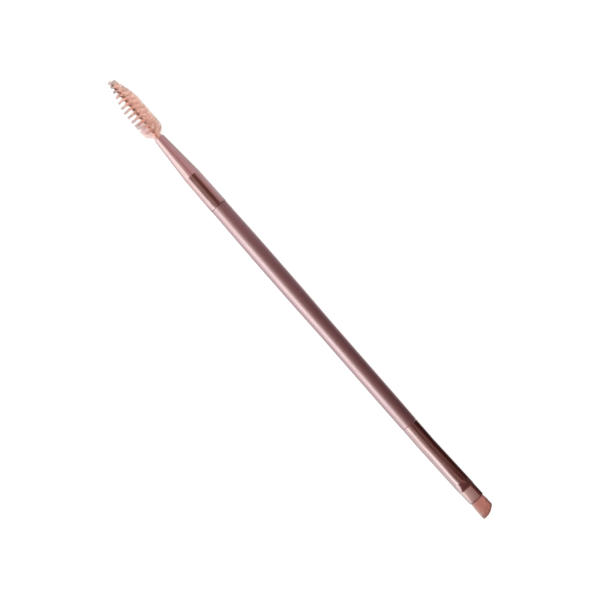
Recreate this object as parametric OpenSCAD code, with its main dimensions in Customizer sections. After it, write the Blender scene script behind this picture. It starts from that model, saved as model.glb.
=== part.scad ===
// Two-ended eyebrow brush: a twisted-wire spoolie at one end of a turned handle
// and a flat, angled tuft in a crimped ferrule at the other.
// The brush lies along X with its flat end towards +X, and rests on the plane Z = 0.

/* [Spoolie] */
// Length of the bristled end, from its tip to the mouth of its ferrule
bristle_len = 21.9; // [18:0.1:28]
// Radius of the bristles where they are longest
bristle_r = 3.3; // [2.9:0.05:4.5]
// Radius of the bristles at the tip
bristle_tip_r = 1.15; // [0.9:0.05:1.6]
// Radius of the bristles beside the ferrule
bristle_root_r = 1.2; // [0.9:0.05:1.8]
// Length over which the bristles grow from the ferrule to full radius
shoulder_len = 3.4; // [2:0.1:5]
// Length over which the bristles shorten towards the tip
taper_len = 10.5; // [6:0.1:12]
// Advance of the wire's twist in one turn, which is two rows of bristles
twist_pitch = 3.4; // [2.6:0.05:4.5]
// Thickness of one row of bristles, measured along the brush
row_t = 0.6; // [0.3:0.01:0.7]
// Thickness of the layer of bristles gripped between the two legs of wire
grip_t = 0.1; // [0.06:0.01:0.16]
// Diameter of the wire, which is folded into a hairpin and twisted
wire_d = 0.5; // [0.4:0.01:0.6]
// Length of twisted wire held inside the ferrule
stem_len = 9; // [5:0.5:11]
// Length of the spoolie's tip over which the rows lean forwards round the fold of the wire
splay_len = 3; // [2:0.5:12]
// How far the fold of the wire lies behind the tips of the rows that lean round it
fold_depth = 0.4; // [0.05:0.05:1.5]
// How far the lowest bristles give way under the brush
rest_press = 0.2; // [0.05:0.01:0.3]

/* [Spoolie ferrule] */
// Length of the tapered nose
nose_len = 15.1; // [14:0.1:20]
// Radius of the nose at its mouth, before the lip is rounded
nose_r = 1.58; // [1.4:0.02:1.9]
// Rounding of the lip round the mouth
lip_round = 0.5; // [0.3:0.05:0.6]
// Thickness of metal turned in at the mouth
lip_t = 0.6; // [0.4:0.05:1]
// Length of the sleeve between the nose and the handle
sleeve_len = 11.9; // [10:0.1:16]
// Radius of the sleeve where it meets the nose
sleeve_nose_r = 2.58; // [2.5:0.01:2.65]
// Radius of the sleeve at the handle
sleeve_end_r = 2.72; // [2.65:0.01:2.78]

/* [Handle] */
// Length of the handle that shows between the two ferrules
handle_len = 85; // [70:0.5:110]
// Radius at the spoolie's end
front_r = 2.63; // [2.6:0.01:2.75]
// Radius of the belly, which is the part that is gripped
belly_r = 2.78; // [2.75:0.01:2.9]
// Radius along the rear half
rear_r = 2.64; // [2.6:0.01:2.75]
// Radius at the flat brush's end
back_r = 2.6; // [2.57:0.01:2.75]
// Length of the rise from the spoolie's end to the belly
rise_len = 17; // [10:0.5:22]
// Length of the straight belly
belly_len = 16; // [10:0.5:20]
// Length of the fall from the belly to the rear half
fall_len = 17; // [10:0.5:20]
// Length over which the rear half draws in to its end
draw_in_len = 10; // [4:0.5:12]
// Rounding of the edges beside the ferrules
edge_round = 0.15; // [0.05:0.01:0.25]
// Length of the tenon inside the spoolie's ferrule
front_tenon_len = 10; // [6:0.5:11]
// Length of the tenon inside the flat ferrule
back_tenon_len = 7; // [4:0.5:8]

/* [Flat ferrule] */
// Length of the ferrule from the handle to its mouth
ferrule_len = 29.7; // [27:0.1:36]
// Outer radius of the round socket that takes the handle
socket_r = 2.56; // [2.5:0.01:2.65]
// Length of the straight socket, beyond which the ferrule leans
socket_len = 8.2; // [8:0.1:10]
// Sideways lean of the rest of the ferrule and of the hair, in degrees
lean = 1.32; // [0:0.01:1.4]
// Outer radius where the ferrule starts to flatten
neck_r = 2.61; // [2.5:0.01:2.7]
// Length over which it flattens
flatten_len = 3.2; // [2.5:0.1:6]
// Half of the width at the end of the flattening
flattened_half_w = 2.62; // [2.5:0.01:2.7]
// Half of the height at the end of the flattening
flattened_half_h = 1.3; // [1.15:0.01:1.5]
// Length of the small step down to the crimped band
crimp_step_len = 0.4; // [0.2:0.05:0.8]
// Length of the crimped band that grips the hair
crimp_len = 4.1; // [3:0.1:6]
// Half of the width of the crimped band
crimp_half_w = 2.5; // [2.3:0.01:2.6]
// Half of the height of the crimped band where it starts
crimp_half_h = 1.15; // [0.95:0.01:1.2]
// Half of the height of the crimped band at its mouth
mouth_half_h = 1.08; // [0.9:0.01:1.15]
// Bow of the flattened faces, as a share of their half height
crown = 0.16; // [0:0.01:0.25]

/* [Hair] */
// Length of hair that shows on its long side
hair_long = 6; // [5:0.1:9]
// Length of hair that shows on its short side
hair_short = 4.1; // [3:0.1:5]
// Half of the width of the tuft where it shows
hair_half_w = 2.42; // [2.3:0.01:2.5]
// Half of the thickness of the tuft at its fullest
hair_half_t = 0.86; // [0.6:0.01:1]
// Half of the thickness of the tuft at its edge
hair_edge_t = 0.2; // [0.12:0.01:0.3]
// How strongly the cut edge bows outwards
edge_bow = 2.6; // [1:0.1:3]
// Rounding of the cut edge's long corner, measured along the brush
corner_drop = 0.25; // [0:0.05:0.6]
// Length of hair gripped inside the ferrule
hair_root_len = 8; // [5:0.5:10]

/* [Fits] */
// Wall thickness of both ferrules
wall = 0.3; // [0.25:0.01:0.35]
// Gap between a tenon and its ferrule
tenon_gap = 0.04; // [0.03:0.01:0.06]
// Gap between the twisted wire and the hole that it passes through
stem_gap = 0.04; // [0.03:0.01:0.08]
// Gap round the set glue and the hair root
glue_gap = 0.03; // [0.02:0.01:0.06]
// Gap between a ferrule's end and the handle's shoulder
joint_gap = 0.05; // [0.03:0.01:0.1]

/* [Hidden] */

lacquer = [0.60, 0.42, 0.43];
polished = [0.74, 0.52, 0.52];
steel = [0.62, 0.58, 0.56];
peach = [0.90, 0.66, 0.58];
hair_pink = [0.74, 0.45, 0.41];
amber = [0.80, 0.68, 0.45];

// Places along the brush, from the tip of the spoolie to the tip of the hair
total_len = bristle_len + nose_len + sleeve_len + handle_len + ferrule_len + hair_long;
tip_x = -total_len / 2;
mouth_x = tip_x + bristle_len;
sleeve_x = mouth_x + nose_len;
handle_x = sleeve_x + sleeve_len;
ferrule_x = handle_x + handle_len;
hair_x = ferrule_x + ferrule_len;

// The brush rests on its bristles, which give way a little, or else on the belly of the handle
axis_h = max(bristle_r - rest_press, belly_r);

// A curve that starts and ends level, from a at u = 0 to b at u = 1
function eased(a, b, u) = a + (b - a) * (1 - cos(180 * u)) / 2;
function blended(a, b, u) = a + (b - a) * u;
function unit(v) = v / norm(v);

// Triangles that join each ring of m points to the next one, and in a closed loop the last to the first
function ring_sides(count, m, closed = false) =
    [for (i = [0 : count - (closed ? 1 : 2)], j = [0 : m - 1], half = [0, 1])
        let (here = i * m, next = ((i + 1) % count) * m, k = (j + 1) % m)
        half == 0 ? [here + j, next + k, here + k] : [here + j, next + j, next + k]];

function flattened(rings) = [for (ring = rings, p = ring) p];

function first_cap(m) = [[for (j = [0 : m - 1]) j]];
function last_cap(m, last) = [[for (j = [m - 1 : -1 : 0]) last + j]];

// A solid through a row of rings, each an anticlockwise loop seen from the side that the row goes to
module skinned(rings) {
    m = len(rings[0]);
    last = (len(rings) - 1) * m;
    polyhedron(
        flattened(rings),
        concat(ring_sides(len(rings), m), first_cap(m), last_cap(m, last)),
        convexity = 12
    );
}

// A tube with an open end at both ends, from its outer rings and its inner rings
module tube_skinned(outer, inner) {
    n = len(inner);
    rings = concat(outer, [for (i = [n - 1 : -1 : 0]) inner[i]]);
    polyhedron(flattened(rings), ring_sides(len(rings), len(rings[0]), closed = true), convexity = 6);
}

// A solid turned about the brush's axis, from an outline of [radius, place along the brush]
module turned(outline) {
    translate([0, 0, axis_h])
        rotate([0, 90, 0])
            rotate_extrude($fn = 96)
                polygon(outline);
}

// Points of a quarter round in an outline, about [r, x], between two angles
function round_points(r, x, radius, from, to, steps = 5) =
    [for (i = [0 : steps])
        let (a = blended(from, to, i / steps)) [r + radius * cos(a), x + radius * sin(a)]];

// Spoolie: rows of bristles and the wire that grips them

ROW_STEPS = 20; // rings in one turn of the twist
first_row_angle = 167; // direction of the first row, from +Y towards +Z
half_row_angle = 180 * row_t / twist_pitch;
fit_gap = 0.04; // between the legs of wire and the layer that they grip
leg_off = (wire_d + grip_t) / 2 + fit_gap; // from the brush's axis to the middle of each leg of wire
core_r = leg_off + wire_d / 2;
root_gap = 0.1; // bare wire between the last row and the ferrule
fold_x = tip_x + fold_depth + wire_d / 2; // middle of the wire at the fold of the hairpin
rows_x = fold_x + wire_d / 2 + 2 * fit_gap; // where the rows are first gripped, behind the fold

// How far the tips of a row lean forwards, from where it is gripped
function splay(x) = (rows_x - tip_x) * min(1, max(0, 1 - (x - rows_x) / splay_len));

// The direction of the row that is gripped at x, which turns the left-handed way along the brush
function row_angle(x) = first_row_angle - 360 * (x - splay(x) - tip_x) / twist_pitch;

SHOULDER_POWER = 1.2; // of the curve of the shoulder, which is fuller below 1
TAPER_POWER = 1.3; // of the curve of the taper

// Reach of the bristles at a distance s from the ferrule's mouth
function bristle_reach(s) =
    s < shoulder_len ? let (rise = pow(sin(90 * s / shoulder_len), SHOULDER_POWER))
        bristle_root_r + (bristle_r - bristle_root_r) * rise
    : s < bristle_len - taper_len ? bristle_r
    : let (u = min(1, (s - bristle_len + taper_len) / taper_len))
        bristle_tip_r + (bristle_r - bristle_tip_r) * pow(cos(90 * u), TAPER_POWER);

// Half of the section of a row, as [across, along] from the gripped middle outwards to its arc of tips
throat_half_w = grip_t * 0.6; // of a row between the legs of wire
waist = core_r + fit_gap; // where a row is clear of the wire and has its full thickness
waist_half_w = waist * tan(half_row_angle);
HALF_POINTS = 9;
function row_half(reach) = [
    [throat_half_w, leg_off],
    [waist_half_w, waist],
    for (k = [-2 : 2]) reach * [sin(-k * half_row_angle / 2), cos(k * half_row_angle / 2)],
    [-waist_half_w, waist],
    [-throat_half_w, leg_off]
];

function row_section(reach) =
    let (half = row_half(reach))
    concat([[grip_t / 2, 0]], half, [[-grip_t / 2, 0]], [for (p = half) -p]);

// One ring through both rows that face each other; their tips lean forwards near the fold of the wire
function row_ring(x) =
    let (a = row_angle(x) - 90, reach = bristle_reach(mouth_x - x + splay(x)))
    [for (p = row_section(reach))
        let (forward = splay(x) * max(0, abs(p[1]) - waist) / (reach - waist))
        [x - forward, p[0] * cos(a) - p[1] * sin(a), max(0, axis_h + p[0] * sin(a) + p[1] * cos(a))]];

module spoolie_bristles() {
    end_x = mouth_x - root_gap;
    steps = ceil(ROW_STEPS * (end_x - rows_x) / twist_pitch);
    rings = [for (i = [0 : steps]) row_ring(blended(rows_x, end_x, i / steps))];
    m = len(rings[0]);
    // The first cap is bent along the waist of each row, so it is three flat faces
    row = [for (j = [2 : HALF_POINTS - 1]) j];
    middle = [for (j = [0 : m - 1]) if (j % (m / 2) <= 2 || j % (m / 2) >= HALF_POINTS - 1) j];
    color(peach) polyhedron(
        flattened(rings),
        concat(
            ring_sides(len(rings), m),
            [middle, row, [for (j = row) j + m / 2]],
            last_cap(m, steps * m)
        ),
        convexity = 12
    );
}

WIRE_SIDES = 8;
WIRE_STEPS = 12; // rings in one turn of the twist
BEND_STEPS = 6;
leg_len = bristle_len + stem_len - (fold_x - tip_x) - leg_off;
bend_half = leg_off * PI / 2; // length of wire in half of the fold

// The hairpin before it is twisted, as [along, across], at a length s of wire from the fold
function hairpin(s) =
    abs(s) < bend_half ? leg_off * [1 - cos(s / leg_off * 180 / PI), sin(s / leg_off * 180 / PI)]
    : [leg_off + abs(s) - bend_half, leg_off * sign(s)];

function wire_point(s) =
    let (h = hairpin(s), x = fold_x + h[0], a = row_angle(x) - 90)
    [x, h[1] * cos(a), axis_h + h[1] * sin(a)];

function wire_ring(s) =
    let (
        middle = wire_point(s),
        a = row_angle(middle[0]) - 90,
        ahead = unit(wire_point(s + 0.01) - wire_point(s - 0.01)),
        side = [0, -sin(a), cos(a)],
        b1 = unit(side - (side * ahead) * ahead),
        b2 = cross(ahead, b1)
    )
    [for (k = [0 : WIRE_SIDES - 1])
        let (f = 360 * k / WIRE_SIDES) middle + wire_d / 2 * (cos(f) * b1 + sin(f) * b2)];

module twisted_wire() {
    leg_steps = ceil(WIRE_STEPS * leg_len / twist_pitch);
    leg = [for (i = [leg_steps : -1 : 1]) bend_half + leg_len * i / leg_steps];
    lengths = concat(
        [for (s = leg) -s],
        [for (i = [-BEND_STEPS / 2 : BEND_STEPS / 2]) 2 * bend_half * i / BEND_STEPS],
        [for (i = [len(leg) - 1 : -1 : 0]) leg[i]]
    );
    color(steel) skinned([for (s = lengths) wire_ring(s)]);
}

// Spoolie ferrule: a drawn tube with a tapered nose, and the glue that sets the wire in it

hole_r = core_r + stem_gap;

function nose_outer(x) = blended(nose_r, sleeve_nose_r, (x - mouth_x) / nose_len);
function sleeve_outer(x) = blended(sleeve_nose_r, sleeve_end_r, (x - sleeve_x) / sleeve_len);

module spoolie_ferrule() {
    end_x = handle_x - joint_gap;
    inside_x = mouth_x + lip_t;
    color(polished) turned(concat(
        [[hole_r, mouth_x]],
        round_points(nose_outer(mouth_x + lip_round) - lip_round, mouth_x + lip_round, lip_round, -90, 0),
        [[sleeve_nose_r, sleeve_x]],
        round_points(sleeve_outer(end_x) - wall / 2, end_x - wall / 2, wall / 2, 0, 90, 3),
        [
            [sleeve_outer(end_x) - wall, end_x],
            [sleeve_nose_r - wall, sleeve_x],
            [nose_outer(inside_x) - wall, inside_x],
            [hole_r, inside_x]
        ]
    ));
}

module spoolie_glue() {
    from_x = mouth_x + lip_t + glue_gap;
    to_x = handle_x - front_tenon_len - glue_gap;
    // The cut ends of the wire slant past the stem's length
    stem_x = mouth_x + stem_len + wire_d / 2 + glue_gap;
    inset = wall + glue_gap;
    to_r = (to_x > sleeve_x ? sleeve_outer(to_x) : nose_outer(to_x)) - inset;
    color(amber) turned(concat(
        [
            [hole_r, from_x],
            [nose_outer(from_x) - inset, from_x]
        ],
        to_x > sleeve_x ? [[sleeve_nose_r - inset, sleeve_x]] : [],
        [
            [to_r, to_x],
            [0, to_x],
            [0, stem_x],
            [hole_r, stem_x]
        ]
    ));
}

// Handle: turned in one piece, with a tenon at each end

CURVE_STEPS = 8;

module handle() {
    belly_x = handle_x + rise_len;
    fall_x = belly_x + belly_len;
    rear_x = fall_x + fall_len;
    draw_x = ferrule_x - draw_in_len;
    front_end_x = handle_x - front_tenon_len;
    back_end_x = ferrule_x + back_tenon_len;
    inset = wall + tenon_gap;
    tenon_edge = 0.3;
    front_end_r = (front_end_x > sleeve_x ? sleeve_outer(front_end_x) : nose_outer(front_end_x)) - inset;
    color(lacquer) turned(concat(
        [
            [0, front_end_x],
            [front_end_r - tenon_edge, front_end_x],
            [front_end_r, front_end_x + tenon_edge]
        ],
        front_end_x < sleeve_x ? [[sleeve_nose_r - inset, sleeve_x]] : [],
        [[sleeve_end_r - inset, handle_x]],
        round_points(front_r - edge_round, handle_x + edge_round, edge_round, -90, 0, 4),
        [for (i = [1 : CURVE_STEPS])
            let (u = i / CURVE_STEPS, x = handle_x + edge_round + (rise_len - edge_round) * u)
            [eased(front_r, belly_r, u), x]],
        [for (i = [0 : CURVE_STEPS])
            let (u = i / CURVE_STEPS) [eased(belly_r, rear_r, u), fall_x + fall_len * u]],
        [for (i = [0 : CURVE_STEPS - 1])
            let (u = i / CURVE_STEPS) [eased(rear_r, back_r, u), draw_x + (draw_in_len - edge_round) * u]],
        round_points(back_r - edge_round, ferrule_x - edge_round, edge_round, 0, 90, 4),
        [
            [socket_r - inset, ferrule_x],
            [socket_r - inset, back_end_x - tenon_edge],
            [socket_r - inset - tenon_edge, back_end_x],
            [0, back_end_x]
        ]
    ));
}

// Flat ferrule: a round socket, drawn down and flattened to a crimped band

RING_STEPS = 10; // points on each quarter of a ring
FLATTEN_STEPS = 10;
STEP_STEPS = 3;
FLATTEN_POWER = 2.2; // of the curve of the flattening, which starts level and ends in a crease

lean_x = ferrule_x + socket_len;
crimp_x = hair_x - crimp_len;
step_x = crimp_x - crimp_step_len;
flatten_x = step_x - flatten_len;

// Half width and half height of the ferrule's outside; its sides are always full rounds
function head_half(x) =
    x < flatten_x ? let (r = blended(socket_r, neck_r, max(0, x - lean_x) / (flatten_x - lean_x))) [r, r]
    : x < step_x ? let (u = (x - flatten_x) / flatten_len)
        [blended(neck_r, flattened_half_w, u), blended(neck_r, flattened_half_h, pow(u, FLATTEN_POWER))]
    : x < crimp_x ? let (u = (x - step_x) / crimp_step_len)
        [eased(flattened_half_w, crimp_half_w, u), eased(flattened_half_h, crimp_half_h, u)]
    : [crimp_half_w, blended(crimp_half_h, mouth_half_h, (x - crimp_x) / crimp_len)];

function lean_at(x) = tan(lean) * max(0, x - lean_x);

// A ring with round sides and, the flatter it is, a bow on top and below, as [across, up] from its middle
function oval(half_w, half_h) =
    let (c = min(half_w, half_h), bow = crown * (half_h - c * half_h / half_w))
    [for (j = [0 : 4 * RING_STEPS - 1])
        let (
            a = 90 * (j + 0.5) / RING_STEPS,
            across = half_w * cos(a),
            beyond = max(0, abs(across) - half_w + c),
            side = (half_h - c + sqrt(c * c - beyond * beyond)) / half_h
        )
        [across, sign(sin(a)) * side * (half_h - bow * pow(cos(a), 2))]];

function head_ring(x, inset) =
    let (half = head_half(x))
    [for (p = oval(half[0] - inset, half[1] - inset)) [x, lean_at(x) + p[0], axis_h + p[1]]];

function flatten_places() = [for (i = [0 : FLATTEN_STEPS]) blended(flatten_x, step_x, i / FLATTEN_STEPS)];
function step_places() = [for (i = [1 : STEP_STEPS]) blended(step_x, crimp_x, i / STEP_STEPS)];
function head_places() = concat([lean_x], flatten_places(), step_places());

module flat_ferrule() {
    lip = wall / 2;
    start_x = ferrule_x + joint_gap;
    outer = concat([start_x + lip], head_places(), [hair_x - lip]);
    inner = concat([start_x], head_places(), [hair_x]);
    color(polished) tube_skinned(
        concat([head_ring(start_x, lip)], [for (x = outer) head_ring(x, 0)], [head_ring(hair_x, lip)]),
        [for (x = inner) head_ring(x, wall)]
    );
}

root_x = hair_x - hair_root_len;

module hair_glue() {
    inset = wall + glue_gap;
    from_x = ferrule_x + back_tenon_len + glue_gap;
    to_x = root_x - glue_gap;
    between = [for (x = head_places()) if (x > from_x && x < to_x) x];
    color(amber) skinned([for (x = concat([from_x], between, [to_x])) head_ring(x, inset)]);
}

// Hair: gripped by the crimp, then spread a little and cut at a slant

HAIR_STEPS = 8;
swell_end = 0.3; // share of the showing length over which the tuft swells

// Length of hair that shows, from the long side at v = -1 to the short side at v = 1
function hair_reach(v) =
    hair_long - (hair_long - hair_short) * pow((1 + v) / 2, edge_bow)
    - corner_drop * pow(max(0, (-v - 0.8) / 0.2), 2);

function hair_half(u) =
    let (
        root = head_half(hair_x) - [wall + glue_gap, wall + glue_gap],
        swell = min(1, u / swell_end),
        thin = max(0, u - swell_end) / (1 - swell_end)
    )
    [eased(root[0], hair_half_w, swell), eased(eased(root[1], hair_half_t, swell), hair_edge_t, thin)];

function hair_ring(u) =
    let (half = hair_half(u))
    [for (p = oval(half[0], half[1]))
        let (x = hair_x + u * hair_reach(p[0] / half[0])) [x, lean_at(x) + p[0], axis_h + p[1]]];

module hair_tuft() {
    inset = wall + glue_gap;
    places = concat([root_x], [for (x = head_places()) if (x > root_x) x]);
    rings = concat(
        [for (x = places) head_ring(x, inset)],
        [for (i = [0 : HAIR_STEPS]) hair_ring(i / HAIR_STEPS)]
    );
    m = 4 * RING_STEPS;
    last = (len(rings) - 1) * m;
    color(hair_pink) polyhedron(
        flattened(rings),
        concat(
            ring_sides(len(rings), m),
            first_cap(m),
            [for (j = [0 : m / 2 - 2]) [last + m - 1 - j, last + m - 2 - j, last + j + 1, last + j]]
        ),
        convexity = 4
    );
}

handle();
spoolie_ferrule();
spoolie_glue();
twisted_wire();
spoolie_bristles();
flat_ferrule();
hair_glue();
hair_tuft();
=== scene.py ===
"""Looks of the two-ended eyebrow brush: filaments and hair, surface finishes, studio and camera.

The brush lies along X, with the spoolie towards -X and the flat tuft towards +X.
Lengths are in metres.
"""
import math
import random

import bpy
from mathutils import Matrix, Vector


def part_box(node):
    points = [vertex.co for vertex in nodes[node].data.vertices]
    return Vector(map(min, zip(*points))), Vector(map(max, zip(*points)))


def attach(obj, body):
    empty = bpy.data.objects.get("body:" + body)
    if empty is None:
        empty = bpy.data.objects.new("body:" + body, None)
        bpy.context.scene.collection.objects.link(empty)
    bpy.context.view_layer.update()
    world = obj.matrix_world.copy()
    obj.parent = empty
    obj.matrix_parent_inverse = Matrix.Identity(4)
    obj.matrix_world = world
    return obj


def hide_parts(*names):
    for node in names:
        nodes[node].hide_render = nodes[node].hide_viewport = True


MM = 0.001

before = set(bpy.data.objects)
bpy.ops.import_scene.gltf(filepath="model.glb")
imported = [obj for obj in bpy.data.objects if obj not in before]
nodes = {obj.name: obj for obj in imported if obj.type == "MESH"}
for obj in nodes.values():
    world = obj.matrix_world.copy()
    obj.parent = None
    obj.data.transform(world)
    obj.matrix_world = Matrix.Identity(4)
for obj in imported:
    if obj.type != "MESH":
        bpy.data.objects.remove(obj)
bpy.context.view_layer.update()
scene = bpy.context.scene

# Places along the brush, taken from the solids
handle_low, handle_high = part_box("handle")
AXIS_Z = (handle_low.z + handle_high.z) / 2
TIP_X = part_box("spoolie_bristles")[0].x
MOUTH_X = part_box("spoolie_ferrule")[0].x
FERRULE_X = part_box("flat_ferrule")[0].x
HAIR_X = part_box("flat_ferrule")[1].x
CRIMP_X = HAIR_X - 4.1 * MM
FLATTEN_X = CRIMP_X - 3.3 * MM

# Spoolie: the same driving sizes as its solids
BRISTLE_R = 3.3 * MM
BRISTLE_TIP_R = 1.15 * MM
BRISTLE_ROOT_R = 1.2 * MM
SHOULDER_LEN = 3.4 * MM
SHOULDER_POWER = 1.2
TAPER_LEN = 10.5 * MM
TAPER_POWER = 1.3
TWIST_PITCH = 3.4 * MM
SPLAY_LEN = 3 * MM
FOLD_DEPTH = 0.4 * MM
FIRST_ROW_ANGLE = 167.0
WIRE_D = 0.5 * MM
WIRE_FIT_GAP = 0.04 * MM
ROWS_X = TIP_X + FOLD_DEPTH + WIRE_D + 2 * WIRE_FIT_GAP
BRISTLE_LEN = MOUTH_X - TIP_X

# Filaments of the spoolie
FILAMENTS = 1500
FILAMENT_D = 0.1 * MM
FILAMENT_TIP = 0.85
FILAMENT_POINTS = (0.03, 0.35, 0.7, 1.0)
FRONT_DENSITY = 1.15
# The rows end this far before the ferrule's mouth, and their tips may reach as far past it
MOUTH_GAP = 0.1 * MM
# How far the roots and tips stray along the brush, and how far they turn round it, in degrees
ROOT_SPREAD = 0.12 * MM
ROW_SPREAD = 0.36 * MM
COMBED_SPREAD = 0.5 * MM
COMBED_SHARE = 0.3
REAR_SPREAD = 1.65 * MM
REAR_LEN = 7 * MM
ROOT_TURN = 12
ROW_TURN = 7
FAN_TURN = 35
FAN_LEN = 0.6 * MM
# How much the rear ones bend, and how far the spoolie's end falls back at +Y
REAR_BEND = 0.8
END_ROUND = 0.55 * MM
# Their lengths, as shares of the solid's reach. Combing makes them longer towards +Y and shorter
# towards -Y, by COMBED everywhere, and near the tip by LONGER and SHORTER more.
LENGTHS = (0.96, 1.01)
COMBED = 0.02
LONGER = 0.1
SHORTER = 0.2
FRONT_RISE = 1.5

# Flat tuft: the same driving sizes as its solid
LEAN = math.radians(1.32)
LEAN_X = FERRULE_X + 8.15 * MM
HAIR_LONG = 6.0 * MM
HAIR_SHORT = 4.1 * MM
ROOT_HALF_W = 2.17 * MM
ROOT_HALF_T = 0.75 * MM
HAIR_HALF_W = 2.42 * MM
HAIR_HALF_T = 0.86 * MM
HAIR_EDGE_T = 0.2 * MM
EDGE_BOW = 2.6
CORNER_DROP = 0.25 * MM
CORNER_FROM = 0.8
CROWN = 0.16
SWELL_END = 0.3

# Hairs of the tuft. FILLED, ROUND_EDGE and STRAY are shares of its half width, SHORTEST of its length.
HAIRS = 2600
HAIR_D = 0.07 * MM
HAIR_TIP = 0.45
HAIR_POINTS = (0.15, 0.4, 0.7, 1.0)
HIDDEN_LEN = 0.8 * MM
FACE_DENSITY = 0.45
FILLED = 0.985
ROUND_EDGE = 0.3
STRAY = 0.012
SHORTEST = 0.965


def eased(a, b, u):
    """A value that goes smoothly from a to b as u goes from 0 to 1."""
    return a + (b - a) * (1 - math.cos(math.pi * u)) / 2


# Meshes of many thin strands

STRAND_SIDES = 4
ALONG_NO_STRAND = Vector((0.31, 0.52, 0.79))


def strand_mesh(name, strands, width, tip):
    """Closed prisms, one along each strand's points, that narrow to tip times their width."""
    vertices, faces = [], []
    for points in strands:
        base = len(vertices)
        last = len(points) - 1
        for i, point in enumerate(points):
            ahead = (points[min(i + 1, last)] - points[max(i - 1, 0)]).normalized()
            side = ahead.cross(ALONG_NO_STRAND).normalized()
            other = ahead.cross(side)
            radius = width / 2 * (1 - (1 - tip) * (i / last) ** 2)
            for k in range(STRAND_SIDES):
                a = 2 * math.pi * k / STRAND_SIDES
                vertices.append(point + radius * (math.cos(a) * side + math.sin(a) * other))
        for i in range(last):
            here = base + i * STRAND_SIDES
            there = here + STRAND_SIDES
            for k in range(STRAND_SIDES):
                k2 = (k + 1) % STRAND_SIDES
                faces.append((here + k, here + k2, there + k2, there + k))
        faces.append(tuple(base + k for k in reversed(range(STRAND_SIDES))))
        end = base + last * STRAND_SIDES
        faces.append(tuple(end + k for k in range(STRAND_SIDES)))
    mesh = bpy.data.meshes.new(name)
    mesh.from_pydata(vertices, [], faces)
    mesh.shade_smooth()
    piece = bpy.data.objects.new(name, mesh)
    scene.collection.objects.link(piece)
    return piece


# Spoolie filaments


def splay(x):
    """How far the tips of the filaments at x lean forwards round the wire's fold."""
    return (ROWS_X - TIP_X) * min(1, max(0, 1 - (x - ROWS_X) / SPLAY_LEN))


def row_angle(x):
    """Direction of the first row at x, in radians from +Y towards +Z."""
    return math.radians(FIRST_ROW_ANGLE - 360 * (x - splay(x) - TIP_X) / TWIST_PITCH)


def bristle_reach(s):
    """Reach of the filaments at a distance s from the ferrule's mouth."""
    if s < SHOULDER_LEN:
        rise = math.sin(math.pi / 2 * max(0, s) / SHOULDER_LEN) ** SHOULDER_POWER
        return BRISTLE_ROOT_R + (BRISTLE_R - BRISTLE_ROOT_R) * rise
    if s < BRISTLE_LEN - TAPER_LEN:
        return BRISTLE_R
    u = min(1, (s - BRISTLE_LEN + TAPER_LEN) / TAPER_LEN)
    fall = math.cos(math.pi / 2 * u) ** TAPER_POWER
    return BRISTLE_TIP_R + (BRISTLE_R - BRISTLE_TIP_R) * fall


def front_share(x):
    """How near the filaments at x are to the tip: 1 there, 0 where the taper starts."""
    return max(0, 1 - (x - TIP_X) / TAPER_LEN)


def rear_share(x):
    """How far the filaments at x are bent: 1 at the ferrule's mouth, 0 away from it."""
    return math.sqrt(max(0, 1 - (MOUTH_X - x) / REAR_LEN))


def tip_spread(x, angle):
    """How far the tips of a row stray along the brush.

    They stray further near the ferrule, where they are bent, and towards +Y, where they are combed,
    most of all near the tip.
    """
    combed = max(0, math.cos(angle)) * (COMBED_SHARE + (1 - COMBED_SHARE) * front_share(x))
    spread = ROW_SPREAD + COMBED_SPREAD * combed + REAR_SPREAD * rear_share(x)
    return min(spread, MOUTH_GAP + MOUTH_X - x)


def spoolie_filaments():
    """Filaments that pass through the twisted wire and reach out of it to both sides."""
    rng = random.Random(7)
    strands = []
    length = MOUTH_X - MOUTH_GAP - ROWS_X
    for i in range(FILAMENTS):
        # Denser near the tip, where the rows fan out
        x = ROWS_X + length * ((i + rng.random()) / FILAMENTS) ** FRONT_DENSITY
        root_turn = math.radians(rng.uniform(-ROOT_TURN, ROOT_TURN))
        turn = ROW_TURN + FAN_TURN * max(0, 1 - (x - ROWS_X) / FAN_LEN)
        for side in (0, math.pi):
            a = row_angle(x) + side
            tip_a = a + math.radians(rng.gauss(0, turn))
            spread = tip_spread(x, tip_a)
            root_x = x + rng.uniform(-ROOT_SPREAD, ROOT_SPREAD)
            end_x = TIP_X + END_ROUND * max(0, math.cos(tip_a)) ** 2
            tip_x = max(end_x, x - splay(x) + rng.uniform(-spread, spread))
            bent = 1 + REAR_BEND * rear_share(x)
            front = min(1, front_share(x) * FRONT_RISE)
            combed = COMBED + (LONGER if math.cos(tip_a) > 0 else SHORTER) * front
            reach = bristle_reach(MOUTH_X - tip_x)
            out = reach * rng.uniform(*LENGTHS) * (1 + combed * math.cos(tip_a))
            points = []
            for u in FILAMENT_POINTS:
                bend = a + root_turn * (1 - u) ** 2 + (tip_a - a) * u
                away = root_x + (tip_x - root_x) * u ** bent
                # The lowest filaments give way to the surface that the brush lies on
                z = max(FILAMENT_D / 2, AXIS_Z + out * u * math.sin(bend))
                points.append(Vector((away, out * u * math.cos(bend), z)))
            strands.append(points)
    return strand_mesh("spoolie_filaments", strands, FILAMENT_D, FILAMENT_TIP)


# Hair of the flat tuft


def hair_reach(v):
    """Length of hair that shows, from the long side at v = -1 to the short side at v = 1."""
    slant = (HAIR_LONG - HAIR_SHORT) * ((1 + v) / 2) ** EDGE_BOW
    corner = max(0, (-v - CORNER_FROM) / (1 - CORNER_FROM)) ** 2
    return HAIR_LONG - slant - CORNER_DROP * corner


def lean_at(x):
    """How far the flat ferrule's axis has leant towards +Y at x."""
    return math.tan(LEAN) * max(0, x - LEAN_X)


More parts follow.
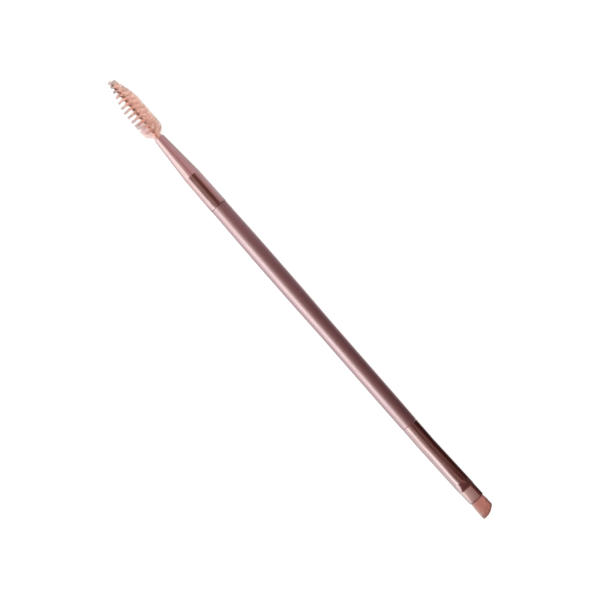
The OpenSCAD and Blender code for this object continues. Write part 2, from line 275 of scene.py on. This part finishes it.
def hair_half(u):
    """Half width and half thickness of the tuft at a share u of its showing length."""
    swell = min(1, u / SWELL_END)
    thin = max(0, u - SWELL_END) / (1 - SWELL_END)
    thickness = eased(eased(ROOT_HALF_T, HAIR_HALF_T, swell), HAIR_EDGE_T, thin)
    return eased(ROOT_HALF_W, HAIR_HALF_W, swell), thickness


def tuft_hairs():
    """Hairs of the flat tuft, with their first stretch inside the crimped band."""
    rng = random.Random(11)
    strands = []
    for i in range(HAIRS):
        # Denser towards the faces of the tuft, which are what shows
        v = rng.uniform(-1, 1)
        w = rng.choice((-1, 1)) * rng.random() ** FACE_DENSITY
        past = max(0, abs(v) - 1 + ROUND_EDGE) / ROUND_EDGE
        w *= math.sqrt(max(0, 1 - past ** 2))
        stray = rng.gauss(0, STRAY)
        length = hair_reach(v) * rng.uniform(SHORTEST, 1.0)
        places = [(HAIR_X - HIDDEN_LEN, 0)] + [(HAIR_X + u * length, u) for u in HAIR_POINTS]
        points = []
        for x, u in places:
            half_w, half_t = hair_half(u)
            across = (v * FILLED + stray * u ** 2) * (half_w - HAIR_D / 2)
            bow = CROWN * half_t * (1 - half_t / half_w)
            up = w * (half_t - HAIR_D / 2 - bow * v * v)
            points.append(Vector((x, lean_at(x) + across, AXIS_Z + up)))
        strands.append(points)
    return strand_mesh("tuft_hairs", strands, HAIR_D, HAIR_TIP)


# Materials

# Flat ferrule: its normals lose their part along the brush over LEVEL_LEN before the flattening, so
# that no light sliver shows there. They lean by STEP_SLOPE from STEP_X to BAND_X and by BAND_SLOPE from
# there to CRIMP_X, so that the band seems to start where it does in the photo.
LEVEL_LEN = 1 * MM
STEP_X = CRIMP_X - 0.9 * MM
BAND_X = CRIMP_X - 0.36 * MM
STEP_SLOPE = 0.32
BAND_SLOPE = 0.017
SHARP = 0.02 * MM
BAND_ROUGHNESS = 0.06
BAND_FADE_LEN = 0.1 * MM

# Painted shade and painted light, which multiply a piece's colour. Each starts at the first place of a
# pair, and is full, or has its share, from the second place on. In REAR_X, the shade of the tips falls
# to REAR_SHARE.
# Painted shade on the flat ferrule's lip, where the hair comes out
LIP_PAINTED_SHADE = (0.45, 0.32, 0.32)
LIP_SHARE = 0.8
LIP_X = (HAIR_X - 0.3 * MM, HAIR_X - 0.18 * MM)

WIRE_SHADE = (0.5, 0.5, 0.55)
WIRE_TIP_X = (TIP_X + 4.6 * MM, TIP_X + 3.2 * MM)

# Painted shade on the spoolie's filament tips
TIP_PAINTED_SHADE = (0.53, 0.69, 0.8)
NEAR_TIPS_Y = (-0.5 * MM, -2.2 * MM)
REAR_X = (MOUTH_X - 6 * MM, MOUTH_X - 4.6 * MM)
REAR_SHARE = 0.55
FRONT_X = (TIP_X + 8 * MM, TIP_X + 4 * MM)
FRONT_NEAR_Y = (0.1 * MM, -0.5 * MM)
FRONT_FAR_Y = (0.7 * MM, 1.8 * MM)
FRONT_FAR_SHARE = 0.5
END_X = (TIP_X + 2.2 * MM, TIP_X + 1.1 * MM)
END_SHARE = 0.9

# Painted shade at +Y and painted light at -Y on the bent filaments at the rear
BENT_X = (MOUTH_X - 6.5 * MM, MOUTH_X - 5 * MM)
BENT_FAR_PAINTED_SHADE = (0.86, 0.87, 0.86)
BENT_FAR_Y = (0.2 * MM, 1 * MM)
BENT_NEAR_PAINTED_LIGHT = (1.0, 1.08, 1.17)
BENT_NEAR_Y = (-0.3 * MM, -0.8 * MM)

# Painted shade at the hair's roots and its edge at +Y, and painted light at its edge at -Y
HAIR_PAINTED_SHADE = (0.45, 0.5, 0.55)
HAIR_ROOTS_X = (HAIR_X + 0.6 * MM, HAIR_X + 0.1 * MM)
HAIR_ROOTS_SHARE = 0.85
HAIR_FAR_Y = (2.15 * MM, 2.8 * MM)
HAIR_NEAR_PAINTED_LIGHT = (1.08, 1.7, 1.95)
HAIR_NEAR_Y = (-0.4 * MM, -1.5 * MM)


def principled(name, color, **sockets):
    """A material with a Principled shader; each keyword sets the socket of that name."""
    material = bpy.data.materials.new(name)
    material.use_nodes = True
    shader = material.node_tree.nodes["Principled BSDF"]
    shader.inputs["Base Color"].default_value = (*color, 1)
    for socket, value in sockets.items():
        shader.inputs[socket.replace("_", " ")].default_value = value
    return material, shader


def scaled_noise(material, scale, detail, stretch=(1, 1, 1)):
    """Noise over the piece in metres, stretched along the axes."""
    tree = material.node_tree
    coordinates = tree.nodes.new("ShaderNodeTexCoord")
    mapping = tree.nodes.new("ShaderNodeMapping")
    mapping.inputs["Scale"].default_value = [scale * s for s in stretch]
    noise = tree.nodes.new("ShaderNodeTexNoise")
    noise.inputs["Scale"].default_value = 1.0
    noise.inputs["Detail"].default_value = detail
    tree.links.new(coordinates.outputs["Object"], mapping.inputs["Vector"])
    tree.links.new(mapping.outputs["Vector"], noise.inputs["Vector"])
    return noise.outputs["Fac"]


def ranged(material, value, low, high, start=0.0, end=1.0):
    """Maps a value that goes from start to end to one that goes from low to high."""
    ranger = material.node_tree.nodes.new("ShaderNodeMapRange")
    ranger.inputs["From Min"].default_value = start
    ranger.inputs["From Max"].default_value = end
    ranger.inputs["To Min"].default_value = low
    ranger.inputs["To Max"].default_value = high
    material.node_tree.links.new(value, ranger.inputs["Value"])
    return ranger.outputs["Result"]


def ramped(material, value, dark, light, low=0.3, high=0.7):
    """A colour between dark and light, as the value goes from low to high."""
    ramp = material.node_tree.nodes.new("ShaderNodeValToRGB")
    ramp.color_ramp.elements[0].position = low
    ramp.color_ramp.elements[0].color = (*dark, 1)
    ramp.color_ramp.elements[1].position = high
    ramp.color_ramp.elements[1].color = (*light, 1)
    material.node_tree.links.new(value, ramp.inputs["Fac"])
    return ramp.outputs["Color"]


def along_axis(material, axis, start, end, low=0.0, high=1.0):
    """A value that goes from low to high as the place on the piece goes from start to end."""
    make, link = material.node_tree.nodes.new, material.node_tree.links.new
    axes = make("ShaderNodeSeparateXYZ")
    link(make("ShaderNodeTexCoord").outputs["Object"], axes.inputs[0])
    return ranged(material, axes.outputs[axis], low, high, start, end)


def combined(material, operation, a, b):
    """Two values put together by an operation of the Math node."""
    node = material.node_tree.nodes.new("ShaderNodeMath")
    node.operation = operation
    material.node_tree.links.new(a, node.inputs[0])
    material.node_tree.links.new(b, node.inputs[1])
    return node.outputs[0]


def within(material, start, end):
    """A value that is 1 from start to end along the brush, and 0 elsewhere."""
    return combined(
        material, "MULTIPLY",
        along_axis(material, "X", start, start + SHARP),
        along_axis(material, "X", end, end + SHARP, 1.0, 0.0))


def mixed(material, share, a, b):
    """A value that goes from a to b, each a number or a socket, as the share goes from 0 to 1."""
    link = material.node_tree.links.new
    mix = material.node_tree.nodes.new("ShaderNodeMix")
    link(share, mix.inputs["Factor"])
    for socket, value in (("A", a), ("B", b)):
        if isinstance(value, float):
            mix.inputs[socket].default_value = value
        else:
            link(value, mix.inputs[socket])
    return mix.outputs["Result"]


def shaded(material, share, shade):
    """Paints shade or light into the base colour: multiplies it by a shade, in a share that differs
    from place to place.
    """
    link = material.node_tree.links.new
    base = material.node_tree.nodes["Principled BSDF"].inputs["Base Color"]
    mix = material.node_tree.nodes.new("ShaderNodeMix")
    mix.data_type = "RGBA"
    mix.blend_type = "MULTIPLY"
    link(share, mix.inputs["Factor"])
    link(base.links[0].from_socket, mix.inputs["A"])
    mix.inputs["B"].default_value = (*shade, 1)
    link(mix.outputs["Result"], base)


def bumped(material, shader, height, strength, distance):
    """Gives the surface the relief of a height."""
    bump = material.node_tree.nodes.new("ShaderNodeBump")
    bump.inputs["Strength"].default_value = strength
    bump.inputs["Distance"].default_value = distance
    material.node_tree.links.new(height, bump.inputs["Height"])
    material.node_tree.links.new(bump.outputs["Normal"], shader.inputs["Normal"])


def in_space(material, normal, source, target):
    """A normal given in one space, turned to another."""
    turn = material.node_tree.nodes.new("ShaderNodeVectorTransform")
    turn.vector_type = "NORMAL"
    turn.convert_from, turn.convert_to = source, target
    material.node_tree.links.new(normal, turn.inputs[0])
    return turn.outputs[0]


def rose_lacquer():
    """Satin metallic lacquer: fine flakes under a clear coat."""
    material, shader = principled(
        "rose_lacquer", (0.8, 0.55, 0.56), Metallic=1.0, Roughness=0.4,
        Coat_Weight=0.35, Coat_Roughness=0.22)
    link = material.node_tree.links.new
    flakes = scaled_noise(material, 9000, detail=1.0)
    clouds = scaled_noise(material, 350, detail=2.0)
    link(ramped(material, flakes, (0.76, 0.5, 0.51), (0.86, 0.62, 0.63)), shader.inputs["Base Color"])
    link(ranged(material, clouds, 0.36, 0.44), shader.inputs["Roughness"])
    bumped(material, shader, flakes, strength=0.12, distance=0.004 * MM)
    return material


def rose_metal(name):
    """Polished anodised metal, with the faint rings that turning leaves."""
    material, shader = principled(name, (0.88, 0.64, 0.63), Metallic=1.0, Roughness=0.12)
    link = material.node_tree.links.new
    rings = scaled_noise(material, 1, detail=2.0, stretch=(9000, 60, 60))
    smudges = scaled_noise(material, 420, detail=3.0)
    link(ramped(material, smudges, (0.86, 0.61, 0.6), (0.9, 0.67, 0.66)), shader.inputs["Base Color"])
    link(ranged(material, smudges, 0.06, 0.11), shader.inputs["Roughness"])
    bumped(material, shader, rings, strength=0.1, distance=0.002 * MM)
    return material


def crimped_rose_metal():
    """The same metal, evenly polished on the band, with painted shade at its lip and turned normals."""
    material = rose_metal("crimped_rose_metal")
    tree = material.node_tree
    make, link = tree.nodes.new, tree.links.new
    roughness = tree.nodes["Principled BSDF"].inputs["Roughness"]
    on_band = along_axis(material, "X", CRIMP_X - BAND_FADE_LEN, CRIMP_X)
    link(mixed(material, on_band, roughness.links[0].from_socket, BAND_ROUGHNESS), roughness)

    normal = make("ShaderNodeSeparateXYZ")
    link(in_space(material, make("ShaderNodeNewGeometry").outputs["Normal"], "WORLD", "OBJECT"),
         normal.inputs[0])
    level = within(material, FLATTEN_X - LEVEL_LEN, FLATTEN_X)
    step = within(material, STEP_X, CRIMP_X)
    slope = along_axis(material, "X", BAND_X, BAND_X + SHARP, STEP_SLOPE, BAND_SLOPE)
    turned = make("ShaderNodeCombineXYZ")
    levelled = mixed(material, level, normal.outputs["X"], 0.0)
    link(mixed(material, step, levelled, slope), turned.inputs["X"])
    link(normal.outputs["Y"], turned.inputs["Y"])
    link(normal.outputs["Z"], turned.inputs["Z"])
    unit = make("ShaderNodeVectorMath")
    unit.operation = "NORMALIZE"
    link(in_space(material, turned.outputs[0], "OBJECT", "WORLD"), unit.inputs[0])
    link(unit.outputs[0], tree.nodes["Bump"].inputs["Normal"])

    # Painted shade: a dark line at the lip, standing in for the shadow at the ferrule's mouth
    shaded(material, along_axis(material, "X", *LIP_X, 0.0, LIP_SHARE), LIP_PAINTED_SHADE)
    return material


def drawn_wire():
    """Steel wire with a copper tone, streaked along the brush."""
    material, shader = principled("drawn_wire", (0.86, 0.54, 0.43), Metallic=1.0, Roughness=0.3)
    link = material.node_tree.links.new
    streaks = scaled_noise(material, 6000, detail=2.0, stretch=(0.3, 1, 1))
    link(ramped(material, streaks, (0.78, 0.44, 0.33), (0.94, 0.62, 0.51)), shader.inputs["Base Color"])
    link(ranged(material, streaks, 0.24, 0.4), shader.inputs["Roughness"])
    # Less light comes to the wire among the filaments that lean round its fold
    shaded(material, along_axis(material, "X", *WIRE_TIP_X), WIRE_SHADE)
    return material


def strand_material(name, dark, light, roughness):
    """Translucent plastic whose shade differs from strand to strand."""
    material, shader = principled(
        name, light, Roughness=roughness, Subsurface_Weight=0.25,
        Subsurface_Radius=(1.0, 0.5, 0.35), Subsurface_Scale=0.25 * MM)
    strand = material.node_tree.nodes.new("ShaderNodeNewGeometry").outputs["Random Per Island"]
    color = ramped(material, strand, dark, light, low=0.0, high=1.0)
    material.node_tree.links.new(color, shader.inputs["Base Color"])
    return material


def paint_tip_light_and_shade(material):
    """Paints shade on the filaments' tips at -Y, on both sides near the spoolie's tip, and all round
    its end.

    The bent ones at the rear get painted shade at +Y and painted light at -Y.
    """
    near = combined(
        material, "MULTIPLY",
        along_axis(material, "Y", *NEAR_TIPS_Y),
        along_axis(material, "X", *REAR_X, 1.0, REAR_SHARE))
    both_sides = combined(
        material, "MAXIMUM",
        along_axis(material, "Y", *FRONT_NEAR_Y),
        along_axis(material, "Y", *FRONT_FAR_Y, 0.0, FRONT_FAR_SHARE))
    front = combined(material, "MULTIPLY", both_sides, along_axis(material, "X", *FRONT_X))
    end = along_axis(material, "X", *END_X, 0.0, END_SHARE)
    # Painted shade on the tips
    shaded(
        material, combined(material, "MAXIMUM", combined(material, "MAXIMUM", near, front), end),
        TIP_PAINTED_SHADE)
    # Painted shade at +Y and painted light at -Y on the bent filaments at the rear
    bent = along_axis(material, "X", *BENT_X)
    for shade, places in ((BENT_FAR_PAINTED_SHADE, BENT_FAR_Y), (BENT_NEAR_PAINTED_LIGHT, BENT_NEAR_Y)):
        side = along_axis(material, "Y", *places)
        shaded(material, combined(material, "MULTIPLY", bent, side), shade)


def paint_hair_light_and_shade(material):
    """Paints shade on the hair at its roots, in the ferrule's shadow, and at its edge at +Y, and paints
    it paler towards the light at -Y.
    """
    # Painted shade at the roots, where the ferrule's mouth shadows them, and at the edge at +Y
    roots = along_axis(material, "X", *HAIR_ROOTS_X, 0.0, HAIR_ROOTS_SHARE)
    far_edge = along_axis(material, "Y", *HAIR_FAR_Y)
    shaded(material, combined(material, "MAXIMUM", roots, far_edge), HAIR_PAINTED_SHADE)
    # Painted light towards the lit edge at -Y
    shaded(material, along_axis(material, "Y", *HAIR_NEAR_Y), HAIR_NEAR_PAINTED_LIGHT)


def amber_glue():
    """Set glue with small bubbles, hidden inside the ferrules."""
    material, shader = principled("amber_glue", (0.72, 0.6, 0.38), Roughness=0.2)
    bubbles = scaled_noise(material, 2500, detail=2.0)
    color = ramped(material, bubbles, (0.66, 0.52, 0.3), (0.76, 0.65, 0.44))
    material.node_tree.links.new(color, shader.inputs["Base Color"])
    return material


def dress(name, material):
    """Gives a solid its material."""
    if not nodes[name].data.materials:
        nodes[name].data.materials.append(material)
    for slot in nodes[name].material_slots:
        slot.material = material


def add_piece(piece, node, material):
    """Puts a detailed piece in the place of a solid."""
    piece.data.materials.append(material)
    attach(piece, "root")
    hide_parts(node)


metal = rose_metal("rose_metal")
glue = amber_glue()
dress("handle", rose_lacquer())
dress("spoolie_ferrule", metal)
dress("flat_ferrule", crimped_rose_metal())
dress("twisted_wire", drawn_wire())
dress("spoolie_glue", glue)
dress("hair_glue", glue)

peach_nylon = strand_material("peach_nylon", (0.82, 0.465, 0.37), (0.97, 0.635, 0.545), 0.4)
paint_tip_light_and_shade(peach_nylon)
rose_hair = strand_material("rose_hair", (0.29, 0.097, 0.076), (0.42, 0.168, 0.13), 0.35)
paint_hair_light_and_shade(rose_hair)
add_piece(spoolie_filaments(), "spoolie_bristles", peach_nylon)
add_piece(tuft_hairs(), "hair_tuft", rose_hair)


# Studio

FLOOR_SIZE = 4.0
FLOOR_COLOR = (0.15, 0.15, 0.15)
FLOOR_GLOW = 0.88
TOP_LIGHT_SIZE = 1.2
TOP_LIGHT_ENERGY = 22
TOP_LIGHT_Y = -0.4
TOP_LIGHT_HEIGHT = 0.9
AMBIENT = (0.3, 0.28, 0.28)
BACKDROP_R = 3.0
BACKDROP_COLOR = (0.93, 0.93, 0.93)


def floor():
    """The white ground that the brush lies on."""
    half = FLOOR_SIZE / 2
    corners = [(-half, -half, 0), (half, -half, 0), (half, half, 0), (-half, half, 0)]
    mesh = bpy.data.meshes.new("floor")
    mesh.from_pydata(corners, [], [(0, 1, 2, 3)])
    plane = bpy.data.objects.new("floor", mesh)
    scene.collection.objects.link(plane)
    material, shader = principled("pale_floor", FLOOR_COLOR, Roughness=0.9)
    shader.inputs["Specular IOR Level"].default_value = 0.0
    # Lit from within like a light table, so that hardly a shadow shows
    shader.inputs["Emission Color"].default_value = (1, 1, 1, 1)
    shader.inputs["Emission Strength"].default_value = FLOOR_GLOW
    mesh.materials.append(material)
    # The polished metal shows the dark surround, as in the photo, and not the floor
    plane.visible_glossy = False


def top_light():
    """Even light from above, mirrored in nothing, for the floor, the filaments and the hair."""
    light = bpy.data.lights.new("top_light", "AREA")
    light.shape = "SQUARE"
    light.size = TOP_LIGHT_SIZE
    light.energy = TOP_LIGHT_ENERGY
    lamp = bpy.data.objects.new("top_light", light)
    lamp.location = (0, TOP_LIGHT_Y, TOP_LIGHT_HEIGHT)
    lamp.visible_glossy = False
    scene.collection.objects.link(lamp)


# Radiance round the brush's axis in each zone: degrees from straight up towards -Y, and its colour
NOSE_SIDE = [
    (-180, (0.50, 0.46, 0.47)), (-90, (0.47, 0.38, 0.40)), (-50, (0.48, 0.34, 0.37)),
    (-25, (0.52, 0.32, 0.34)), (-12, (0.33, 0.19, 0.19)), (8, (0.48, 0.33, 0.33)),
    (28, (0.50, 0.38, 0.37)), (48, (1.1, 1.1, 1.08)), (85, (1.1, 1.18, 1.15)),
    (125, (0.70, 0.66, 0.68)), (180, (0.50, 0.46, 0.47)),
]
SLEEVE_SIDE = [
    (-180, (0.50, 0.46, 0.47)), (-110, (0.50, 0.45, 0.47)), (-75, (0.42, 0.30, 0.30)),
    (-52, (0.36, 0.23, 0.22)), (-38, (0.13, 0.045, 0.04)), (-18, (0.105, 0.04, 0.032)),
    (-4, (0.15, 0.075, 0.062)), (14, (0.29, 0.19, 0.165)), (38, (0.26, 0.17, 0.155)),
    (52, (0.34, 0.27, 0.25)), (62, (1.05, 1.02, 1.02)), (88, (1.0, 1.0, 1.0)),
    (110, (0.80, 0.76, 0.78)), (180, (0.50, 0.46, 0.47)),
]
HANDLE_FRONT = [
    (-180, (0.45, 0.40, 0.42)), (-120, (0.34, 0.29, 0.31)), (-90, (0.14, 0.085, 0.10)),
    (-60, (0.085, 0.035, 0.045)), (-30, (0.14, 0.075, 0.09)), (0, (0.18, 0.12, 0.13)),
    (25, (0.36, 0.30, 0.30)), (40, (0.76, 0.74, 0.77)), (50, (1.75, 1.9, 1.95)),
    (66, (1.95, 2.15, 2.2)), (82, (0.9, 0.98, 1.0)), (125, (0.48, 0.49, 0.51)),
    (180, (0.45, 0.40, 0.42)),
]
HANDLE_REAR = [
    (-180, (0.45, 0.40, 0.42)), (-125, (0.41, 0.36, 0.38)), (-96, (0.05, 0.015, 0.018)),
    (-60, (0.02, 0.0, 0.0)), (-32, (0.11, 0.04, 0.04)), (0, (0.17, 0.11, 0.105)),
    (22, (0.30, 0.235, 0.23)), (36, (0.72, 0.69, 0.69)), (46, (2.1, 2.35, 2.35)),
    (62, (2.2, 2.5, 2.5)), (76, (0.95, 1.05, 1.06)), (100, (0.54, 0.58, 0.60)),
    (180, (0.45, 0.40, 0.42)),
]
FERRULE_SIDE = [
    (-180, (0.30, 0.25, 0.25)), (-120, (0.04, 0.02, 0.02)), (-85, (0.025, 0.003, 0.002)),
    (-60, (0.10, 0.042, 0.038)), (-42, (0.20, 0.115, 0.11)), (-20, (0.08, 0.032, 0.027)),
    (-9, (0.15, 0.085, 0.075)), (0, (0.25, 0.165, 0.15)), (20, (0.36, 0.285, 0.265)),
    (34, (0.55, 0.48, 0.46)), (52, (1.1, 1.12, 1.1)), (66, (0.98, 0.98, 0.98)),
    (84, (0.66, 0.66, 0.67)), (106, (0.74, 0.74, 0.76)), (180, (0.30, 0.25, 0.25)),
]
NECK_SIDE = [
    (-180, (0.30, 0.25, 0.25)), (-125, (0.04, 0.02, 0.018)), (-95, (0.025, 0.004, 0.003)),
    (-68, (0.125, 0.056, 0.049)), (-52, (0.07, 0.024, 0.02)), (-38, (0.03, 0.004, 0.002)),
    (-26, (0.10, 0.042, 0.036)), (-11, (0.26, 0.165, 0.15)), (10, (0.22, 0.138, 0.127)),
    (23, (0.35, 0.27, 0.26)), (33, (0.82, 0.76, 0.75)), (42, (1.22, 1.22, 1.21)),
    (54, (1.26, 1.34, 1.35)), (70, (0.83, 0.85, 0.86)), (87, (0.60, 0.60, 0.62)),
    (108, (0.70, 0.72, 0.74)), (180, (0.30, 0.25, 0.25)),
]
THROAT_SIDE = [
    (-180, (0.30, 0.25, 0.25)), (-125, (0.04, 0.02, 0.018)), (-95, (0.025, 0.004, 0.003)),
    (-66, (0.105, 0.05, 0.043)), (-44, (0.05, 0.014, 0.01)), (-34, (0.09, 0.035, 0.03)),
    (-20, (0.26, 0.142, 0.13)), (-9, (0.25, 0.14, 0.13)), (8, (0.07, 0.015, 0.012)),
    (29, (0.08, 0.026, 0.022)), (38, (0.42, 0.34, 0.34)), (48, (1.1, 1.07, 1.07)),
    (60, (1.35, 1.47, 1.5)), (76, (0.84, 0.87, 0.88)), (90, (0.62, 0.64, 0.66)),
    (108, (0.72, 0.74, 0.76)), (180, (0.30, 0.25, 0.25)),
]
BAND_SIDE = [
    (-180, (0.12, 0.08, 0.08)), (-80, (0.06, 0.03, 0.03)), (-24, (0.11, 0.05, 0.048)),
    (-12, (0.15, 0.08, 0.075)), (0, (0.43, 0.32, 0.29)), (10, (0.82, 0.77, 0.72)),
    (18, (1.05, 1.05, 1.0)), (34, (1.1, 1.15, 1.1)), (60, (0.95, 1.05, 1.0)),
    (90, (0.68, 0.80, 0.78)), (180, (0.30, 0.25, 0.25)),
]
SLOPE_SIDE = [
    (-180, (0.45, 0.38, 0.39)), (-150, (0.38, 0.32, 0.32)), (-128, (0.10, 0.06, 0.055)),
    (-70, (0.06, 0.025, 0.022)), (-25, (0.20, 0.11, 0.10)), (-5, (0.14, 0.06, 0.055)),
    (34, (0.13, 0.06, 0.055)), (48, (0.32, 0.24, 0.235)), (60, (0.85, 0.82, 0.82)),
    (74, (1.15, 1.2, 1.2)), (96, (0.72, 0.77, 0.77)), (140, (0.60, 0.60, 0.61)),
    (180, (0.45, 0.38, 0.39)),
]
END_SIDE = [
    (-180, (0.45, 0.38, 0.39)), (-150, (0.38, 0.32, 0.32)), (-128, (0.10, 0.05, 0.05)),
    (-60, (0.07, 0.03, 0.026)), (-10, (0.11, 0.045, 0.04)), (50, (0.15, 0.065, 0.065)),
    (64, (0.26, 0.18, 0.18)), (74, (0.62, 0.56, 0.57)), (86, (1.05, 1.05, 1.06)),
    (104, (0.90, 0.95, 0.95)), (140, (0.65, 0.63, 0.64)), (180, (0.45, 0.38, 0.39)),
]
# Zones after NOSE_SIDE, from the spoolie's end to the tuft's, each with the share of +X in a direction
# where it starts to take over from the zone before it, and where it has taken over
ZONES = [
    (-0.24, -0.19, SLEEVE_SIDE), (-0.142, -0.125, HANDLE_FRONT), (-0.11, 0.08, HANDLE_REAR),
    (0.135, 0.16, FERRULE_SIDE), (0.19, 0.2, NECK_SIDE), (0.214, 0.223, THROAT_SIDE),
    (0.25, 0.259, BAND_SIDE), (0.284, 0.293, SLOPE_SIDE), (0.45, 0.9, END_SIDE),
]


def studio_world():
    """Soft light from -Y, dark overhead and on the other side, in zones along the brush."""
    world = bpy.data.worlds.new("studio")
    scene.world = world
    world.use_nodes = True
    tree = world.node_tree
    make, link = tree.nodes.new, tree.links.new

    def math_node(operation, *values):
        node = make("ShaderNodeMath")
        node.operation = operation
        for i, value in enumerate(values):
            if isinstance(value, (int, float)):
                node.inputs[i].default_value = value
            else:
                link(value, node.inputs[i])
        return node.outputs[0]

    def ramp(stops, value):
        node = make("ShaderNodeValToRGB")
        elements = node.color_ramp.elements
        for place, color in stops[1:-1]:
            elements.new((place + 180) / 360).color = (*color, 1)
        elements[0].color = (*stops[0][1], 1)
        elements[-1].color = (*stops[-1][1], 1)
        link(value, node.inputs["Fac"])
        return node.outputs["Color"]

    axes = make("ShaderNodeSeparateXYZ")
    link(make("ShaderNodeTexCoord").outputs["Generated"], axes.inputs[0])
    x, y, z = axes.outputs
    round_axis = math_node("ARCTAN2", math_node("MULTIPLY", y, -1), z)
    share = math_node("ADD", math_node("DIVIDE", round_axis, 2 * math.pi), 0.5)
    color = ramp(NOSE_SIDE, share)
    for start, end, stops in ZONES:
        along = make("ShaderNodeMapRange")
        along.interpolation_type = "SMOOTHSTEP"
        along.inputs["From Min"].default_value = start
        along.inputs["From Max"].default_value = end
        link(x, along.inputs["Value"])
        mix = make("ShaderNodeMix")
        mix.data_type = "RGBA"
        link(along.outputs["Result"], mix.inputs["Factor"])
        link(color, mix.inputs["A"])
        link(ramp(stops, share), mix.inputs["B"])
        color = mix.outputs["Result"]
    # Matt surfaces get an even light, and only the polished ones show the zones
    path = make("ShaderNodeLightPath")
    seen = make("ShaderNodeMix")
    seen.data_type = "RGBA"
    link(path.outputs["Is Diffuse Ray"], seen.inputs["Factor"])
    link(color, seen.inputs["A"])
    seen.inputs["B"].default_value = (*AMBIENT, 1)
    background = tree.nodes["Background"]
    link(seen.outputs["Result"], background.inputs["Color"])
    background.inputs["Strength"].default_value = 1.0


def backdrop():
    """A pale dome behind everything, seen directly but not lighting or mirrored in anything."""
    bpy.ops.mesh.primitive_uv_sphere_add(segments=48, ring_count=24, radius=BACKDROP_R)
    dome = bpy.context.object
    dome.name = "backdrop"
    material = bpy.data.materials.new("pale_backdrop")
    material.use_nodes = True
    tree = material.node_tree
    glow = tree.nodes.new("ShaderNodeEmission")
    glow.inputs["Color"].default_value = (*BACKDROP_COLOR, 1)
    tree.links.new(glow.outputs[0], tree.nodes["Material Output"].inputs["Surface"])
    dome.data.materials.append(material)
    dome.visible_diffuse = False
    dome.visible_glossy = False
    dome.visible_transmission = False
    dome.visible_shadow = False


floor()
top_light()
studio_world()
backdrop()
scene.view_settings.view_transform = "Standard"

# Camera: straight above the brush, turned so that the brush runs down to the right
CAMERA_HEIGHT = 0.3
FRAME_WIDTH = 0.17664
SENSOR_WIDTH = 36.0
BRUSH_DOWN = 0.75327
BRUSH_RIGHT = 0.65772
TURN = math.atan2(BRUSH_DOWN, BRUSH_RIGHT)
AIM = (0.49 * MM, -0.11 * MM)

camera_data = bpy.data.cameras.new("camera")
camera_data.sensor_width = SENSOR_WIDTH
camera_data.lens = SENSOR_WIDTH * CAMERA_HEIGHT / FRAME_WIDTH
camera_data.clip_start = 0.01
camera_data.clip_end = 20.0
camera = bpy.data.objects.new("camera", camera_data)
camera.location = (*AIM, AXIS_Z + CAMERA_HEIGHT)
camera.rotation_euler = (0, 0, TURN)
scene.collection.objects.link(camera)
scene.camera = camera
